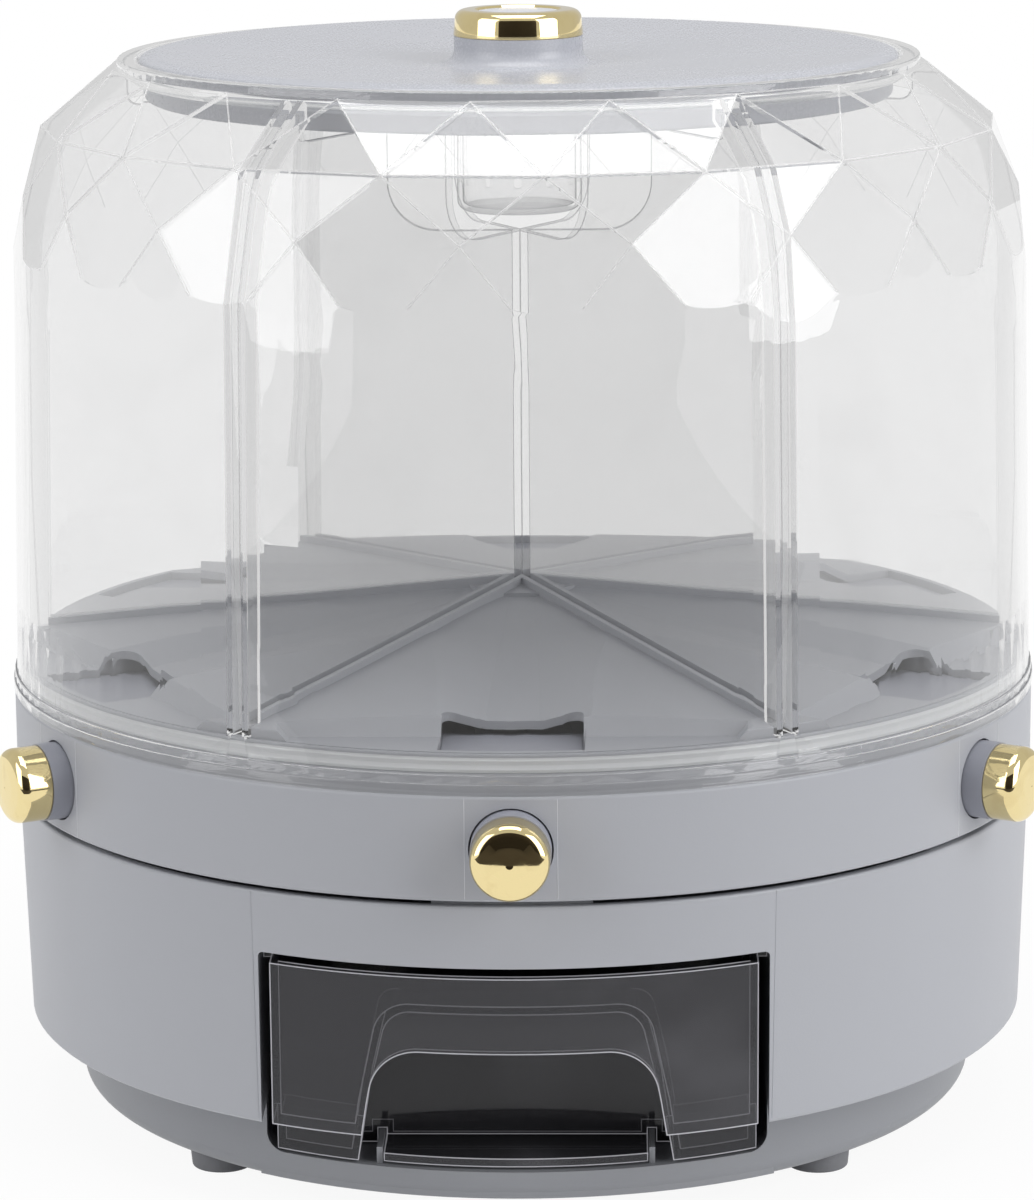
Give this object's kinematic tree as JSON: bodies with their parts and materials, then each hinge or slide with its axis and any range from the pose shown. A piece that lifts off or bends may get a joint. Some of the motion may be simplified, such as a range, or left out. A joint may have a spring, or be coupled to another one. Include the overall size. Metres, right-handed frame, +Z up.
{
  "type": "rotating grain dispenser",
  "caption": "Rotating grain dispenser: clear faceted drum with radial compartments on a grey ring of push buttons, over a round base with a pull-out drawer.",
  "frame": {"origin": "centre of the footprint on the table", "axes": "+Z up, -Y towards the drawer, +X to the right seen from the drawer"},
  "size_m": [0.3006, 0.332, 0.3199],
  "materials": {
    "grey_plastic": "satin cool grey",
    "stem_grey_plastic": "satin mid grey",
    "light_grey_plastic": "satin light grey",
    "white_plastic": "smooth white",
    "clear_plastic": "polished, transparent",
    "smoky_plastic": "polished, smoky transparent",
    "gold_plate": "polished pale gold plating on plastic",
    "silicone": "translucent silicone",
    "rubber": "dark rubber",
    "screw_steel": "zinc plated",
    "spring_steel": "drawn wire"
  },
  "bodies": {
    "base": {"base_shell": "grey_plastic", "plinth_cover": "grey_plastic", "base_deck": "grey_plastic", "rubber_feet": "rubber", "deck_screws": "screw_steel", "plinth_screws": "screw_steel", "roller_pins": "screw_steel"},
    "drum": {"hopper_tray": "grey_plastic", "drum_underplate": "grey_plastic", "underplate_screws": "screw_steel", "pivot_spindle": "grey_plastic", "pivot_washer": "screw_steel", "pivot_screw": "screw_steel", "clear_shell": "clear_plastic", "shell_seal": "silicone", "star_divider": "clear_plastic"},
    "lid": {"lid_cover": "grey_plastic", "lid_seal": "silicone", "knob_ring": "gold_plate", "knob_cap": "light_grey_plastic", "desiccant_holder": "clear_plastic"},
    "drawer": {"drawer_bin": "smoky_plastic"},
    "button_1": {"gate_slider_1": "stem_grey_plastic", "button_cap_1": "gold_plate", "return_spring_1": "spring_steel"},
    "roller_body_1": {"roller_1": "white_plastic"},
    "button_2": {"gate_slider_2": "stem_grey_plastic", "button_cap_2": "gold_plate", "return_spring_2": "spring_steel"},
    "roller_body_2": {"roller_2": "white_plastic"},
    "button_3": {"gate_slider_3": "stem_grey_plastic", "button_cap_3": "gold_plate", "return_spring_3": "spring_steel"},
    "roller_body_3": {"roller_3": "white_plastic"},
    "button_4": {"gate_slider_4": "stem_grey_plastic", "button_cap_4": "gold_plate", "return_spring_4": "spring_steel"},
    "roller_body_4": {"roller_4": "white_plastic"},
    "button_5": {"gate_slider_5": "stem_grey_plastic", "button_cap_5": "gold_plate", "return_spring_5": "spring_steel"},
    "roller_body_5": {"roller_5": "white_plastic"},
    "button_6": {"gate_slider_6": "stem_grey_plastic", "button_cap_6": "gold_plate", "return_spring_6": "spring_steel"},
    "roller_body_6": {"roller_6": "white_plastic"}
  },
  "joints": [
    {"name": "drum_turn", "type": "hinge", "parent": "base", "child": "drum", "pos_m": [0, 0, 0.0958], "axis": [0, 0, 1], "continuous": true},
    {"name": "lid_lift", "type": "slide", "parent": "drum", "child": "lid", "axis": [0, 0, 1], "range_m": [0, 0.12]},
    {"name": "drawer_slide", "type": "slide", "parent": "base", "child": "drawer", "axis": [0, -1, 0], "range_m": [0, 0.085]},
    {"name": "button_1_press", "type": "slide", "parent": "drum", "child": "button_1", "axis": [0, 1, 0], "range_m": [0, 0.012], "stiffness_N_per_m": 300, "springref_m": -0.006, "deforming": ["return_spring_1"]},
    {"name": "roller_1_spin", "type": "hinge", "parent": "base", "child": "roller_body_1", "pos_m": [0.0475, -0.08227, 0.0874], "axis": [0.5, -0.866, 0], "continuous": true},
    {"name": "button_2_press", "type": "slide", "parent": "drum", "child": "button_2", "axis": [-0.866, 0.5, 0], "range_m": [0, 0.012], "stiffness_N_per_m": 300, "springref_m": -0.006, "deforming": ["return_spring_2"]},
    {"name": "roller_2_spin", "type": "hinge", "parent": "base", "child": "roller_body_2", "pos_m": [0.095, 0, 0.0874], "axis": [1, 0, 0], "continuous": true},
    {"name": "button_3_press", "type": "slide", "parent": "drum", "child": "button_3", "axis": [-0.866, -0.5, 0], "range_m": [0, 0.012], "stiffness_N_per_m": 300, "springref_m": -0.006, "deforming": ["return_spring_3"]},
    {"name": "roller_3_spin", "type": "hinge", "parent": "base", "child": "roller_body_3", "pos_m": [0.0475, 0.08227, 0.0874], "axis": [0.5, 0.866, 0], "continuous": true},
    {"name": "button_4_press", "type": "slide", "parent": "drum", "child": "button_4", "axis": [0, -1, 0], "range_m": [0, 0.012], "stiffness_N_per_m": 300, "springref_m": -0.006, "deforming": ["return_spring_4"]},
    {"name": "roller_4_spin", "type": "hinge", "parent": "base", "child": "roller_body_4", "pos_m": [-0.0475, 0.08227, 0.0874], "axis": [-0.5, 0.866, 0], "continuous": true},
    {"name": "button_5_press", "type": "slide", "parent": "drum", "child": "button_5", "axis": [0.866, -0.5, 0], "range_m": [0, 0.012], "stiffness_N_per_m": 300, "springref_m": -0.006, "deforming": ["return_spring_5"]},
    {"name": "roller_5_spin", "type": "hinge", "parent": "base", "child": "roller_body_5", "pos_m": [-0.095, 0, 0.0874], "axis": [-1, 0, 0], "continuous": true},
    {"name": "button_6_press", "type": "slide", "parent": "drum", "child": "button_6", "axis": [0.866, 0.5, 0], "range_m": [0, 0.012], "stiffness_N_per_m": 300, "springref_m": -0.006, "deforming": ["return_spring_6"]},
    {"name": "roller_6_spin", "type": "hinge", "parent": "base", "child": "roller_body_6", "pos_m": [-0.0475, -0.08227, 0.0874], "axis": [-0.5, -0.866, 0], "continuous": true}
  ],
  "couplings": [
    {"joint": "roller_1_spin", "follows": "drum_turn", "ratio": -15.833},
    {"joint": "roller_2_spin", "follows": "drum_turn", "ratio": -15.833},
    {"joint": "roller_3_spin", "follows": "drum_turn", "ratio": -15.833},
    {"joint": "roller_4_spin", "follows": "drum_turn", "ratio": -15.833},
    {"joint": "roller_5_spin", "follows": "drum_turn", "ratio": -15.833},
    {"joint": "roller_6_spin", "follows": "drum_turn", "ratio": -15.833}
  ]
}
